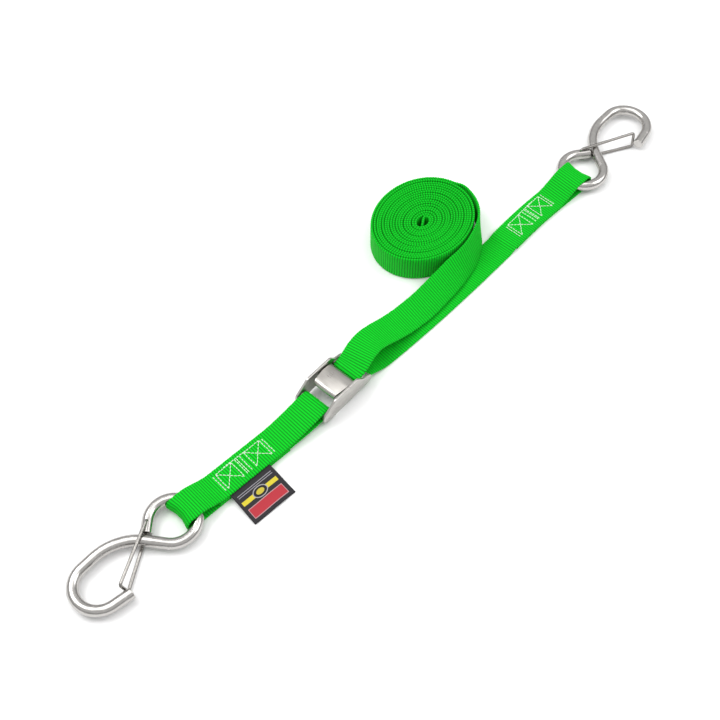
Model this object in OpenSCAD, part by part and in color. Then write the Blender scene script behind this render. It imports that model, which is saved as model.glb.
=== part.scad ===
// Cam-buckle tie-down strap, laid out on a floor: a short strap with a hook, a cam buckle,
// and a long strap with a hook whose free end is wound into a roll standing on its edge.
// X runs along the straps, Y across them, Z up from the floor. Millimetres.

/* [Webbing] */
// Width of the webbing
web_w = 25.4; // [19:0.1:27.5]
// Thickness of the webbing
web_t = 2.1; // [1.2:0.1:2.6]
// Length of the short strap, from the buckle's bar to the middle of its hook's eye
short_len = 142.4; // [120:0.1:260]
// Length of the long strap's laid run, from the buckle's bar to the middle of its hook's eye
run_len = 339; // [310:0.1:600]
// Width of the roll of spare webbing along the strap
roll_long = 100; // [76:1:124]
// Width of the roll of spare webbing across the strap
roll_wide = 84; // [60:1:110]

/* [Hooks] */
// Diameter of the hook rod
rod_d = 9; // [6:0.1:9.5]
// Radius of the hook's eye, to the middle of the rod
eye_r = 18.5; // [17:0.1:24]
// Radius of the hook's bowl, to the middle of the rod
bowl_r = 19.3; // [16:0.1:26]
// Distance from the middle of the eye to the middle of the bowl
hook_reach = 70.3; // [68:0.1:90]
// Diameter of the gate's wire
wire_d = 2.6; // [1.6:0.1:3]

/* [Buckle] */
// Thickness of the buckle's stamped sheet
sheet_t = 2; // [1.5:0.1:3]
// Room left beside the webbing between the buckle's side plates
side_room = 1.8; // [1:0.1:5]
// Height of the top of the side plates above the floor
plate_top = 22.5; // [21:0.5:28]
// Diameter of the bar that the short strap is sewn round
bar_d = 6; // [4:0.1:7]
// Diameter of the lever's pivot pin
pin_d = 4; // [3:0.1:5]
// Number of teeth on the lever
tooth_count = 14; // [7:1:18]

/* [Hidden] */
// Clearance between the pin and the lever that turns on it
pin_clear = 0.08;
// How far the rivet heads stand out of the side plates
head_h = 0.4;
// Clearance between two laid layers of webbing
layer_gap = 0.15;
// Room for the label between the two upper sewn layers
label_gap = 0.5;
// Thickness of the label
label_t = 0.4;
// Clearance between a sewn loop and the rod or bar inside it
loop_clear = 0.35;
// Middle of the whole object, which becomes the origin
mid = [67.65, 20.05];
// Middle of the buckle across the strap
buckle_y = -7;
// Bar and pivot pin positions along and above the floor
bar_x = -31;
bar_z = 8.5;
pin_x = -7;
pin_z = 16.6 - pin_d / 2;
// Folded lip of the frame that the long strap turns round, and that the teeth press it against
turn_x = 8;
turn_z = 10.7;
lip_x1 = 16.3;
lip_t = 5;
fold_gap = 1;
inner_w = web_w + side_room;
outer_w = inner_w + 2 * sheet_t;
// Straps' heights: lowest, middle and top layers
z_low = web_t / 2;
z_mid = z_low + web_t + layer_gap;
z_top = z_mid + web_t + label_gap;
z_top_long = z_low + web_t + layer_gap;
// Hook plane height: the gate's lower leg lies on the floor
leg_off = rod_d / 2 + 0.3 + wire_d / 2;
hook_z = leg_off + wire_d / 2 + 0.06;
// Sewn loop round the hook's eye
loop_r = max(rod_d / 2 + loop_clear, (hook_z + rod_d / 2 + loop_clear - web_t) / 2);
loop_z = web_t + loop_r;
loop_mid_r = loop_r + web_t / 2;
// How far the loop's bend stands from the middle of the eye
eye_in = sqrt(pow(eye_r - rod_d / 2, 2) - pow(web_w / 2, 2));
loop_x = eye_in + loop_r - 0.85;
// Hook shape: the straight shank and the bends either side of it
shank_a = 56.3;
bend_r = 42;
bowl_y = 2.4;
tip_len = 15.5;
// How far the hook's tip turns outward from the line of the hook
tip_out = 10;
hook_top = bowl_y + bowl_r;
shank_0 = eye_r * [sin(shank_a), -cos(shank_a)];
shank_y1 = hook_top - bend_r * (1 - cos(shank_a));
shank_1 = [shank_0[0] + (shank_y1 - shank_0[1]) / tan(shank_a), shank_y1];
bend_c = [shank_1[0] + bend_r * sin(shank_a), hook_top - bend_r];
end_a = 50;
end_0 = eye_r * [cos(end_a), sin(end_a)];
end_dir = [sin(end_a), -cos(end_a)];
shank_n = [sin(shank_a), -cos(shank_a)];
end_gap = (shank_0 - end_0) * shank_n;
end_len = (end_gap - rod_d / 2 - 0.8) / (end_dir * shank_n);
gate_0 = end_0 + 2.5 * end_dir;
tip_0 = [hook_reach + bowl_r * sin(tip_out), bowl_y - bowl_r * cos(tip_out)];
tip_dir = [-cos(tip_out), -sin(tip_out)];
gate_1 = tip_0 + 12.5 * tip_dir + (rod_d / 2 + wire_d / 2 + 0.4) * [-sin(tip_out), cos(tip_out)];
// How far the gate's upper and lower legs spread from each other at the tip
gate_spread = [1.5, 1.4];
// Hook places
slope = 0.088;
hook_a_x = bar_x - short_len;
hook_b_x = bar_x + run_len;
// Sewn seams
seam_len = 50;
seam_a_x = bar_x - 72.5;
seam_b_x = hook_b_x - 72;
// Roll of webbing
roll_x = 209.5 - roll_long / 2;
roll_y = buckle_y + 7.5 + roll_wide / 2;
// Facets of a polygon arc
arc_n = 8;

// Sideways drift of each strap along its length
function short_y(x) = let(d = max(0, bar_x - x), b = 25)
  buckle_y + slope * (d < b ? d * d / (2 * b) : d - b / 2);
function long_y(x) = lookup(x, [
  [-14, buckle_y],
  [13, buckle_y],
  [24, buckle_y - 1],
  [40, buckle_y - 3.2],
  [61, buckle_y - 4.8],
  [101, buckle_y - 6.8],
  [141, buckle_y - 7.8],
  [239, buckle_y - 7.8],
  [hook_b_x - 15, buckle_y - 11.2],
  [hook_b_x, buckle_y - 12]
]);
hook_a_y = short_y(hook_a_x);
hook_b_y = long_y(hook_b_x);

// Smooth step from a to b as x goes from x0 to x1
function ease(x, x0, x1, a, b) = let(u = min(1, max(0, (x - x0) / (x1 - x0))))
  a + (b - a) * u * u * (3 - 2 * u);
function unit(v) = v / norm(v);
// Points of an arc in a plane
function arc2(c, r, a0, a1, n = arc_n) = [
  for (i = [0 : n]) c + r * [cos(a0 + (a1 - a0) * i / n), sin(a0 + (a1 - a0) * i / n)]
];

// Short strap's folded path, as [x, z] points from one cut end to the other
hook_bend_x = hook_a_x + loop_x;
short_cut_0 = seam_a_x + 34.5;
short_cut_1 = seam_a_x - 35.5;
bar_loop_r = bar_d / 2 + 0.25 + web_t / 2;
short_path = concat(
  [for (x = [short_cut_0 : -10 : hook_bend_x + 4]) [x, z_low]],
  arc2([hook_bend_x, loop_z], loop_mid_r, 270, 90, 16),
  [for (x = [hook_bend_x + 4 : 4 : seam_a_x - 26]) [x,
    ease(x, hook_bend_x + 9, seam_a_x - 27, loop_z + loop_mid_r, z_top)]],
  [for (x = [seam_a_x - 24 : 12 : seam_a_x + 24]) [x, z_top]],
  [for (x = [seam_a_x + 29 : 5 : bar_x - 3]) [x,
    ease(x, seam_a_x + 26, bar_x - 1, z_top, bar_z + bar_loop_r)]],
  arc2([bar_x, bar_z], bar_loop_r, 90, -90, 20),
  [for (x = [bar_x - 4 : -5 : seam_a_x + 30]) [x,
    ease(x, bar_x - 1, seam_a_x + 28, bar_z - bar_loop_r, z_mid)]],
  [for (x = [seam_a_x + 24 : -12 : short_cut_1]) [x, z_mid]]
);

// Long strap's folded path from its cut end at the hook to where it leaves the buckle
hook_bend_b = hook_b_x - loop_x;
long_cut = seam_b_x - 33;
turn_r = lip_t / 2 + 0.15 + web_t / 2;
tail_x0 = turn_x + 3.5;
long_path = concat(
  [for (x = [long_cut : 10 : hook_bend_b - 4]) [x, z_low]],
  arc2([hook_bend_b, loop_z], loop_mid_r, -90, 90, 16),
  [for (x = [hook_bend_b - 4 : -4 : seam_b_x + 26]) [x,
    ease(x, hook_bend_b - 9, seam_b_x + 26, loop_z + loop_mid_r, z_top_long)]],
  [for (x = [seam_b_x + 24 : -12 : seam_b_x - 30]) [x, z_top_long]],
  [for (x = [long_cut - 2 : -2 : long_cut - 10]) [x,
    ease(x, long_cut - 1, long_cut - 10, z_top_long, z_low)]],
  [for (x = [long_cut - 18 : -8 : turn_x + 40]) [x, z_low]],
  [for (x = [turn_x + 34 : -4 : turn_x + 4]) [x,
    ease(x, turn_x + 34, turn_x + 7, z_low, turn_z - turn_r)]],
  arc2([turn_x, turn_z], turn_r, 270, 90, 18),
  [for (u = [0.5, 1]) [turn_x + u * (tail_x0 - turn_x), turn_z + turn_r]]
);

// How the heights of the leaning tail follow the webbing's width
lift = web_w / 25.4;
// A place just outside the roll, at an angle round it and a distance from it
function by_roll(a, gap, z, lean) = [
  roll_x + (roll_long / 2 + gap) * cos(a), roll_y + (roll_wide / 2 + gap) * sin(a), z * lift, lean
];
// Tail from the buckle to the roll: middle of the webbing, and the lean of its far edge
tail = [
  [15.5, buckle_y + 0.6, turn_z + turn_r + 1.2, 0],
  [21, buckle_y + 1.6, turn_z + turn_r + 2.9, 0],
  [28.5, buckle_y + 3, turn_z + turn_r + 3.8, 0],
  [38, buckle_y + 4, turn_z + turn_r + 3.2, 0],
  [49, buckle_y + 3.8, 14.7, 1],
  [61, buckle_y + 2.4, 11.3, 4],
  [75, buckle_y + 0.8, 8.8 * lift, 9],
  [88, buckle_y - 0.6, 8.4 * lift, 16],
  [101, buckle_y - 1.7, 9 * lift, 22],
  [114, buckle_y - 1.8, 10.1 * lift, 28],
  [127, buckle_y - 1.8, 11.1 * lift, 34],
  [140, buckle_y - 1.4, 12.3 * lift, 41],
  [153, buckle_y - 1, 13.4 * lift, 54],
  [165, buckle_y + 0.7, 14.6 * lift, 64],
  by_roll(-66, 4.7, 14.9, 74),
  by_roll(-53, 3.3, 14, 82),
  by_roll(-40, 2.3, 13.4, 88),
  by_roll(-27, 1.8, 13, 90),
  by_roll(-14, 1.5, 12.8, 90),
  by_roll(-5, 1.35, 12.8, 90),
  by_roll(2, 0.9, 12.8, 90)
];

// Centreline and across-strap direction of a strap that lies flat
function flat_pts(path, kind) = [
  for (p = path) [p[0], kind == 0 ? short_y(p[0]) : long_y(p[0]), p[1]]
];
function flat_across(path, kind) = [
  for (p = path) let(
    d = 0.5,
    y0 = kind == 0 ? short_y(p[0] - d) : long_y(p[0] - d),
    y1 = kind == 0 ? short_y(p[0] + d) : long_y(p[0] + d)
  ) unit([y0 - y1, 2 * d, 0])
];
tail_pts = [for (q = tail) [q[0], q[1], q[2]]];
tail_across = [
  for (i = [0 : len(tail) - 1]) let(
    a = tail_pts[max(0, i - 1)],
    b = tail_pts[min(len(tail) - 1, i + 1)],
    t = unit([b[0] - a[0], b[1] - a[1], 0])
  ) [-t[1] * cos(tail[i][3]), t[0] * cos(tail[i][3]), sin(tail[i][3])]
];

// Which node to draw

// Moves the whole layout so that the origin is under its middle
module place() {
  translate([-mid[0], -mid[1], 0]) children();
}

// Webbing swept along a list of points, with its width direction at each point
module ribbon(pts, across, w, t) {
  n = len(pts);
  dirs = [for (i = [0 : n - 1]) unit(pts[min(i + 1, n - 1)] - pts[max(i - 1, 0)])];
  nors = [for (i = [0 : n - 1]) unit(cross(dirs[i], across[i]))];
  corners = [
    for (i = [0 : n - 1]) each [
      pts[i] + across[i] * w / 2 + nors[i] * t / 2,
      pts[i] - across[i] * w / 2 + nors[i] * t / 2,
      pts[i] - across[i] * w / 2 - nors[i] * t / 2,
      pts[i] + across[i] * w / 2 - nors[i] * t / 2
    ]
  ];
  sides = [
    for (i = [0 : n - 2]) for (j = [0 : 3]) let(
      a = 4 * i + j,
      b = 4 * i + (j + 1) % 4
    ) each [[a, b, b + 4], [a, b + 4, a + 4]]
  ];
  m = 4 * (n - 1);
  ends = [[0, 2, 1], [0, 3, 2], [m, m + 1, m + 2], [m, m + 2, m + 3]];
  polyhedron(corners, concat(sides, ends), convexity = 10);
}

// Round wire swept along a list of points
module wire(pts, r, k = 8) {
  n = len(pts);
  dirs = [for (i = [0 : n - 1]) unit(pts[min(i + 1, n - 1)] - pts[max(i - 1, 0)])];
  rings = [
    for (i = [0 : n - 1]) let(
      u = unit(cross(dirs[i], [0.02, 1, 0.03])),
      v = cross(dirs[i], u)
    ) each [for (j = [0 : k - 1]) pts[i] + r * (cos(360 * j / k) * u + sin(360 * j / k) * v)]
  ];
  sides = [
    for (i = [0 : n - 2]) for (j = [0 : k - 1]) let(
      a = k * i + j,
      b = k * i + (j + 1) % k
    ) each [[a, b + k, b], [a, a + k, b + k]]
  ];
  m = k * (n - 1);
  ends = [[for (j = [0 : k - 1]) j], [for (j = [k - 1 : -1 : 0]) m + j]];
  polyhedron(rings, concat(sides, ends), convexity = 10);
}

// Straight and bent lengths of hook rod, each stopping just short of a collar that joins them
joint_len = 1.2;
joint_cut = 0.2;
module rod_line(p, q, d) {
  dir = unit(q - p);
  a = p + joint_cut * dir;
  translate([a[0], a[1], 0])
    rotate([0, 0, atan2(dir[1], dir[0])])
      rotate([0, 90, 0])
        cylinder(d = d, h = norm(q - p) - 2 * joint_cut, $fn = 48);
}
module rod_arc(c, r, a0, sweep, d) {
  cut = joint_cut / r * 180 / PI;
  translate([c[0], c[1], 0])
    rotate([0, 0, a0 + cut])
      rotate_extrude(angle = sweep - 2 * cut, $fn = 96)
        translate([r, 0]) circle(d = d, $fn = 48);
}
module collar(p, a, d) {
  translate([p[0], p[1], 0])
    rotate([0, 0, a])
      rotate([0, 90, 0])
        cylinder(d = d + 0.06, h = joint_len, center = true, $fn = 48);
}

// Open hook with a round eye, lying in its own plane with the eye at the origin
module hook() {
  difference() {
    union() {
      rod_line(end_0 + end_len * end_dir, end_0, rod_d);
      collar(end_0, end_a - 90, rod_d);
      rod_arc([0, 0], eye_r, end_a, 270 + shank_a - end_a, rod_d);
      collar(shank_0, shank_a, rod_d);
      rod_line(shank_0, shank_1, rod_d);
      collar(shank_1, shank_a, rod_d);
      rod_arc(bend_c, bend_r, 90, shank_a, rod_d);
      collar([bend_c[0], hook_top], 0, rod_d);
      rod_line([bend_c[0], hook_top], [hook_reach, hook_top], rod_d);
      collar([hook_reach, hook_top], 0, rod_d);
      rod_arc([hook_reach, bowl_y], bowl_r, tip_out - 90, 180 - tip_out, rod_d);
      collar(tip_0, tip_out, rod_d);
      rod_line(tip_0 + tip_len * tip_dir, tip_0, rod_d);
    }
    translate([gate_0[0], gate_0[1], -rod_d])
      cylinder(d = wire_d + 2 * pin_clear, h = 2 * rod_d, $fn = 32);
  }
}

// Wire gate: two legs either side of the hook, joined across the tip
corner_d = wire_d + 0.12;
module gate(side = 1) {
  for (s = [-1, 1]) {
    translate([gate_0[0], gate_0[1], s > 0 ? 1.5 : -leg_off])
      cylinder(d = wire_d, h = leg_off - 1.5, $fn = 32);
    translate([0, 0, s * leg_off]) rod_line(gate_0, gate_1 + s * side * gate_spread, wire_d);
    translate([gate_0[0], gate_0[1], s * leg_off]) sphere(d = corner_d, $fn = 32);
    translate(gate_end(s, side)) sphere(d = corner_d, $fn = 32);
  }
  cross_v = gate_end(1, side) - gate_end(-1, side);
  translate(gate_end(-1, side) + joint_cut * unit(cross_v))
    rotate([0, acos(cross_v[2] / norm(cross_v)), atan2(cross_v[1], cross_v[0])])
      cylinder(d = wire_d, h = norm(cross_v) - 2 * joint_cut, $fn = 32);
}
function gate_end(s, side) = [
  gate_1[0] + s * side * gate_spread[0], gate_1[1] + s * side * gate_spread[1], s * leg_off
];

// Sewn pattern: two crossed boxes between double rows, standing just proud of the webbing
module seam() {
  h = web_w * 0.315;
  rows = [-25.5, -23, -7.5, -4, -2.5, 0.5, 5, 20.5, 23];
  for (x = rows) stitch_row([x, -h], [x, h]);
  for (b = [[-23, -7.5], [5, 20.5]]) {
    for (s = [-1, 1]) {
      stitch_row([b[0], s * h], [b[1], s * h]);
      stitch_row([b[0], s * h], [b[1], -s * h]);
    }
  }
}
module stitch_row(p, q) {
  translate([p[0], p[1], -0.2])
    rotate([0, 0, atan2(q[1] - p[1], q[0] - p[0])])
      translate([-0.4, -0.4, 0]) cube([norm(q - p) + 0.8, 0.8, 0.5]);
}

// Outline of one buckle side plate, as [x, z]
plate_r = 6.3;
plate_pts = concat(
  arc2([13.6, 9.4], 4.9, -80, 70, 8),
  [[8.6, 16.2]],
  arc2([1, plate_top - 4.5], 4.5, 40, 90, 4),
  arc2([-22, plate_top - 4], 4, 90, 130, 4),
  arc2([bar_x, bar_z], plate_r, 130, 270, 12)
);
module side_plate() {
  rotate([90, 0, 0]) linear_extrude(sheet_t) polygon(plate_pts);
}

// Stamped buckle frame: two side plates joined by a folded lip
module buckle_frame() {
  color([0.78, 0.78, 0.77])
    place()
      translate([0, buckle_y, 0])
        difference() {
          union() {
            translate([0, outer_w / 2, 0]) side_plate();
            translate([0, -inner_w / 2, 0]) side_plate();
            translate([turn_x, -inner_w / 2 - 0.5, turn_z - lip_t / 2])
              cube([lip_x1 - turn_x, inner_w + 1, lip_t]);
            translate([turn_x, inner_w / 2 + 0.5, turn_z])
              rotate([90, 0, 0]) cylinder(d = lip_t, h = inner_w + 1, $fn = 48);
          }
          translate([turn_x, -inner_w / 2, turn_z - fold_gap / 2])
            cube([lip_x1 - turn_x + 1, inner_w, fold_gap]);
          translate([bar_x, outer_w, bar_z])
            rotate([90, 0, 0]) cylinder(d = bar_d, h = 2 * outer_w, $fn = 64);
          translate([pin_x, outer_w, pin_z])
            rotate([90, 0, 0]) cylinder(d = pin_d, h = 2 * outer_w, $fn = 64);
        }
}

// Riveted round bar through both side plates
module riveted(d, head_d, head_t) {
  rotate([90, 0, 0])
    translate([0, 0, -outer_w / 2]) {
      cylinder(d = d, h = outer_w, $fn = 64);
      translate([0, 0, -head_t]) cylinder(d1 = head_d - 1.2, d2 = head_d, h = head_t, $fn = 64);
      translate([0, 0, outer_w]) cylinder(d1 = head_d, d2 = head_d - 1.2, h = head_t, $fn = 64);
    }
}
module anchor_bar() {
  color([0.82, 0.82, 0.81])
    place() translate([bar_x, buckle_y, bar_z]) riveted(bar_d, bar_d + 2, head_h);
}
module pivot_pin() {
  color([0.82, 0.82, 0.81])
    place() translate([pin_x, buckle_y, pin_z]) riveted(pin_d, pin_d + 2, head_h);
}

// Cam lever: a curved thumb plate with a toothed nose, on two ears that turn on the pin
lever_w = web_w - 0.2;
lever_c = [-8, -1.5];
lever_r = 21.6;
lever_t = 2.1;
thumb_c = [-17, lever_c[1] + lever_r - 4];
tip_a = 60;
lever_pts = concat(
  arc2(lever_c, lever_r, 90, tip_a + 1.5, 7),
  arc2(lever_c, lever_r - 0.3, tip_a + 0.6, tip_a + 0.5, 1),
  arc2(lever_c, lever_r - 0.9, tip_a, tip_a - 0.1, 1),
  arc2(lever_c, lever_r - lever_t, tip_a + 2, 90, 6),
  arc2(thumb_c, 4 - lever_t, 90, 165, 3),
  arc2(thumb_c, 4, 170, 90, 5)
);
// Outline of the lever's ears from the pin up to the thumb plate and down the nose
ear_pts = concat(
  [[pin_x - 3.9, pin_z]],
  arc2(lever_c, lever_r - 1.1, 98, tip_a + 9, 5),
  [[0.6, 14.6], [-0.8, 12.8], [pin_x + 2.4, pin_z - 2.9]]
);
// One notch between two teeth, cut through the nose
module notch(y, pitch) {
  a = tip_a - 0.6;
  translate([lever_c[0] + (lever_r - 1) * cos(a), y, lever_c[1] + (lever_r - 1) * sin(a)])
    rotate([0, 90 - a, 0])
      translate([0, 0, -3])
        linear_extrude(6) polygon([[2, 0], [0, pitch / 2], [-2, 0], [0, -pitch / 2]]);
}
module cam_lever() {
  color([0.8, 0.8, 0.79])
    place()
      translate([0, buckle_y, 0])
        difference() {
          union() {
            translate([0, lever_w / 2, 0]) rotate([90, 0, 0]) linear_extrude(lever_w) polygon(lever_pts);
            for (s = [-1, 1]) {
              translate([pin_x, s * (lever_w / 2 - 1) + 1, pin_z])
                rotate([90, 0, 0]) cylinder(d = pin_d + 4, h = 2, $fn = 64);
              translate([0, s * (lever_w / 2 - 1) + 1, 0])
                rotate([90, 0, 0]) linear_extrude(2) polygon(ear_pts);
            }
          }
          translate([pin_x, lever_w, pin_z])
            rotate([90, 0, 0]) cylinder(d = pin_d + 2 * pin_clear, h = 2 * lever_w, $fn = 64);
          for (i = [0 : tooth_count])
            notch((i - tooth_count / 2) * lever_w / tooth_count, lever_w / tooth_count);
        }
}

// Torsion spring wound round the pin, with one leg under the thumb plate
spring_d = 0.9;
module lever_spring() {
  turns = 6;
  steps = 14;
  coil_r = pin_d / 2 + 0.2 + spring_d / 2;
  pitch = 1.2;
  y0 = -turns * pitch / 2;
  leg_z = 17.85 - pin_z - spring_d / 2;
  coil = [
    for (i = [0 : turns * steps]) let(a = 90 + 360 * i / steps)
      [coil_r * cos(a), y0 + pitch * i / steps, coil_r * sin(a)]
  ];
  leg = [[-9.5, y0 - 0.2, leg_z], [-4.5, y0 - 0.1, leg_z], [-2, y0 - 0.05, coil_r + 0.1]];
  color([0.62, 0.63, 0.64])
    place()
      translate([pin_x, buckle_y, pin_z])
        wire(concat(leg, coil, [[3.5, -y0 + 0.1, coil_r - 0.4]]), spring_d / 2);
}

// Short strap: one length of webbing folded round the hook's eye and the buckle's bar
module short_strap() {
  color([0.05, 0.82, 0.2])
    place() ribbon(flat_pts(short_path, 0), flat_across(short_path, 0), web_w, web_t);
}
module short_strap_stitching() {
  color([0.93, 0.95, 0.9])
    place()
      translate([seam_a_x, short_y(seam_a_x), z_top + web_t / 2])
        rotate([0, 0, -atan(slope)]) seam();
}

// Sewn-in cloth label, hanging out of the short strap's near edge
label_len = 39;
label_drop = 29;
label_edge = [
  [2.5, z_top - web_t / 2 - 0.05],
  [-2, z_top - web_t / 2 - 0.05],
  [-9, z_mid + 0.6],
  [-label_drop + 8, z_low + 0.9],
  [-label_drop, z_low],
  [-label_drop, z_low - label_t],
  [-label_drop + 8, z_low + 0.9 - label_t],
  [-9, z_mid + 0.6 - label_t],
  [-2, z_top - web_t / 2 - 0.05 - label_t],
  [2.5, z_top - web_t / 2 - 0.05 - label_t]
];
module label() {
  color([0.08, 0.08, 0.08])
    place()
      translate([seam_a_x - 7, short_y(seam_a_x - 7) - web_w / 2, 0])
        rotate([0, 0, -atan(slope)])
          translate([-label_len / 2, 0, 0])
            rotate([90, 0, 90]) linear_extrude(label_len) polygon(label_edge);
}

// Long strap from its hook along the floor, under the buckle and round its base plate
module long_strap() {
  color([0.05, 0.82, 0.2])
    place() ribbon(flat_pts(long_path, 1), flat_across(long_path, 1), web_w, web_t);
}
// Tail of the same webbing, out of the buckle and over to the roll
module long_strap_tail() {
  color([0.05, 0.82, 0.2])
    place()
      ribbon(
        concat([[tail_x0, long_y(tail_x0), turn_z + turn_r]], tail_pts),
        concat([[0, 1, 0]], tail_across), web_w, web_t
      );
}
// The rest of the webbing, wound up and standing on its edge
module roll_hole(p, a) {
  translate([p[0], p[1], -1])
    rotate([0, 0, a])
      for (s = [-1, 1]) {
        translate([s * 2.5, 0, 0]) cylinder(r = 2.2, h = web_w + 2, $fn = 32);
        translate([0, s * 1.1, web_w / 2 + 1]) cube([5, 2.2, web_w + 2], center = true);
      }
}
module long_strap_roll() {
  color([0.05, 0.82, 0.2])
    place()
      difference() {
        linear_extrude(web_w)
          polygon([for (i = [0 : 71]) let(q = by_roll(5 * i, 0, 0, 0)) [q[0], q[1]]]);
        roll_hole([roll_x - 5.5, roll_y + 1], -25);
        roll_hole([roll_x - 2.5, roll_y - 6.5], 5);
      }
}
module long_strap_stitching() {
  color([0.93, 0.95, 0.9])
    place()
      translate([seam_b_x, long_y(seam_b_x), z_top_long + web_t / 2]) mirror([1, 0, 0]) seam();
}

// Hook and gate at the short strap's end, turned over to face the other way
module hook_a_place() {
  place() translate([hook_a_x, hook_a_y, hook_z]) rotate([0, 180, 0]) children();
}
module hook_b_place() {
  place() translate([hook_b_x, hook_b_y, hook_z]) children();
}
module hook_a() {
  color([0.75, 0.76, 0.77]) hook_a_place() hook();
}
module gate_a() {
  color([0.75, 0.76, 0.77]) hook_a_place() gate(-1);
}
module hook_b() {
  color([0.75, 0.76, 0.77]) hook_b_place() hook();
}
module gate_b() {
  color([0.75, 0.76, 0.77]) hook_b_place() gate();
}

buckle_frame();
anchor_bar();
pivot_pin();
cam_lever();
lever_spring();
short_strap();
short_strap_stitching();
label();
hook_a();
gate_a();
long_strap();
long_strap_tail();
long_strap_roll();
long_strap_stitching();
hook_b();
gate_b();
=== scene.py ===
# Cam-buckle tie-down strap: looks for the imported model. Metres, in the CAD model's frame.
import math

import bmesh
import bpy
import numpy as np
from mathutils import Matrix, Vector


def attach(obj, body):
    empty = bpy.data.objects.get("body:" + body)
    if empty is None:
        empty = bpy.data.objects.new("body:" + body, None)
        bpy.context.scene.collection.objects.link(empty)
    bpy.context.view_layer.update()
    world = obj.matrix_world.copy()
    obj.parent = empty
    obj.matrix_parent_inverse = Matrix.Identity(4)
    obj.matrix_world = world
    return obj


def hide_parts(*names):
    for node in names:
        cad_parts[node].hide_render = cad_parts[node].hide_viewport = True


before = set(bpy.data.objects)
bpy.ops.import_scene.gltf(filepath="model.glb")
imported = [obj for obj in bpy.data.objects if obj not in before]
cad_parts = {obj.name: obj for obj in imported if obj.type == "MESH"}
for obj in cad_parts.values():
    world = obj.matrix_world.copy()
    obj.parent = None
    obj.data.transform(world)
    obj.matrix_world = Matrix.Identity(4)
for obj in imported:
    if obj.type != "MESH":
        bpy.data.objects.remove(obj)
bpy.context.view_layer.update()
# sizes below are in mm in a row frame; SHIFT and MM take them to the model's frame
SHIFT = np.array([67.65, 20.05, 0.0])
MM = 0.001

# ---------------------------------------------------------------- camera
CAM_AT, CAM_AIM = (-382.6, -365.2, 835.0), (28.2, -1.7, 0.0)
CAM_RIGHT = (0.663, -0.749, 0.0)
CAM_LENS, CAM_SENSOR = 61.75, 36

cam_data = bpy.data.cameras.new("camera")
cam_data.sensor_width = CAM_SENSOR
cam_data.lens = CAM_LENS
cam = bpy.data.objects.new("camera", cam_data)
bpy.context.scene.collection.objects.link(cam)
eye = (Vector(CAM_AT) - Vector(SHIFT)) * MM
look = (Vector(CAM_AIM) - Vector(SHIFT)) * MM
back = (eye - look).normalized()
right = Vector(CAM_RIGHT).normalized()
up = back.cross(right).normalized()
right = up.cross(back)
cam.matrix_world = Matrix(
    (
        (right.x, up.x, back.x, eye.x),
        (right.y, up.y, back.y, eye.y),
        (right.z, up.z, back.z, eye.z),
        (0, 0, 0, 1),
    )
)
bpy.context.scene.camera = cam
bpy.context.scene.view_settings.view_transform = "Standard"


# ---------------------------------------------------------------- meshes
def make(name, verts, faces, attrs=None):
    """Smooth-shaded mesh object; attrs holds point attributes by name."""
    mesh = bpy.data.meshes.new(name)
    mesh.from_pydata([tuple(v) for v in verts], [], [tuple(int(i) for i in f) for f in faces])
    mesh.update()
    for key, values in (attrs or {}).items():
        values = np.asarray(values, dtype=np.float32)
        kind = "FLOAT" if values.ndim == 1 else "FLOAT_VECTOR"
        layer = mesh.attributes.new(key, kind, "POINT")
        layer.data.foreach_set("value" if values.ndim == 1 else "vector", values.ravel())
    mesh.polygons.foreach_set("use_smooth", [True] * len(mesh.polygons))
    ob = bpy.data.objects.new(name, mesh)
    bpy.context.scene.collection.objects.link(ob)
    return ob


def unit(a):
    a = np.asarray(a, dtype=float)
    return a / np.maximum(np.linalg.norm(a, axis=-1, keepdims=True), 1e-12)


def to_row(p):
    return (np.asarray(p, dtype=float) - SHIFT) * MM


def spline(points, step):
    """Centripetal curve through the points, as evenly spaced samples. Extra columns go along."""
    p = np.asarray(points, dtype=float)
    p = np.vstack([2 * p[0] - p[1], p, 2 * p[-1] - p[-2]])
    out = []
    for i in range(1, len(p) - 2):
        a, b, c, d = p[i - 1], p[i], p[i + 1], p[i + 2]
        t0 = 0.0
        t1 = t0 + max(np.linalg.norm((b - a)[:3]), 1e-9) ** 0.5
        t2 = t1 + max(np.linalg.norm((c - b)[:3]), 1e-9) ** 0.5
        t3 = t2 + max(np.linalg.norm((d - c)[:3]), 1e-9) ** 0.5
        n = max(2, int(np.linalg.norm((c - b)[:3]) / step * 2))
        for t in np.linspace(t1, t2, n, endpoint=False):
            a1 = (t1 - t) / (t1 - t0) * a + (t - t0) / (t1 - t0) * b
            a2 = (t2 - t) / (t2 - t1) * b + (t - t1) / (t2 - t1) * c
            a3 = (t3 - t) / (t3 - t2) * c + (t - t2) / (t3 - t2) * d
            b1 = (t2 - t) / (t2 - t0) * a1 + (t - t0) / (t2 - t0) * a2
            b2 = (t3 - t) / (t3 - t1) * a2 + (t - t1) / (t3 - t1) * a3
            out.append((t2 - t) / (t2 - t1) * b1 + (t - t1) / (t2 - t1) * b2)
    out.append(p[-2])
    return resample(np.array(out), step)


def resample(p, step):
    """The same line as evenly spaced samples."""
    seg = np.linalg.norm(np.diff(p[:, :3], axis=0), axis=1)
    s = np.concatenate([[0], np.cumsum(seg)])
    n = max(2, int(round(s[-1] / step)))
    t = np.linspace(0, s[-1], n + 1)
    return np.stack([np.interp(t, s, p[:, k]) for k in range(p.shape[1])], axis=1)


WEB_W, WEB_T, RIB = 25.4, 2.1, 2.2
RIB_SAMPLES = 6
STEP = RIB / RIB_SAMPLES
WEB_FULL = 0.985  # share of WEB_T that the ribs stand to
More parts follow.
